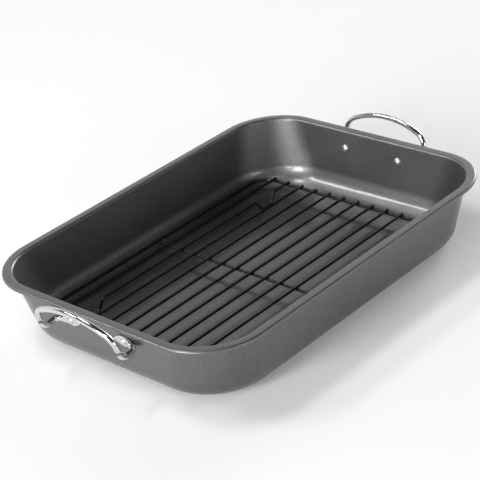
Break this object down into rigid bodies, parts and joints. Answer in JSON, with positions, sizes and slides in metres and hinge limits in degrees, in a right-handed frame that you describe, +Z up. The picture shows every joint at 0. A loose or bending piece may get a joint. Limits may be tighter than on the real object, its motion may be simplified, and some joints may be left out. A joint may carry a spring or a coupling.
{
  "type": "roasting pan with rack",
  "caption": "Deep rectangular roasting pan in coated steel sheet with a riveted bar handle at each end and a lift-out wire rack that stands on its floor.",
  "frame": {"origin": "middle of the pan's underside, on the surface it stands on", "axes": "+X along the pan towards the rear handle, +Y to its left long side, +Z up out of the pan"},
  "size_m": [0.4462, 0.3014, 0.0814],
  "materials": {
    "pan_coating": "dark grey non-stick coat with a fine metallic fleck, satin",
    "handle_chrome": "bright chrome plate",
    "rivet_steel": "plain bright steel",
    "rack_coating": "black non-stick coat, semi-gloss"
  },
  "bodies": {
    "pan": {"pan": "pan_coating", "front_handle": "handle_chrome", "rear_handle": "handle_chrome", "front_left_rivet": "rivet_steel", "front_right_rivet": "rivet_steel", "rear_left_rivet": "rivet_steel", "rear_right_rivet": "rivet_steel"},
    "rack": {"rack_frame": "rack_coating", "rack_cross_wire": "rack_coating", "rack_bar_01": "rack_coating", "rack_bar_02": "rack_coating", "rack_bar_03": "rack_coating", "rack_bar_04": "rack_coating", "rack_bar_05": "rack_coating", "rack_bar_06": "rack_coating", "rack_bar_07": "rack_coating", "rack_bar_08": "rack_coating", "rack_bar_09": "rack_coating", "rack_bar_10": "rack_coating", "rack_bar_11": "rack_coating", "rack_bar_12": "rack_coating"}
  },
  "joints": [
    {"name": "rack_lift", "type": "slide", "parent": "pan", "child": "rack", "axis": [0, 0, 1], "range_m": [0, 0.1]}
  ]
}
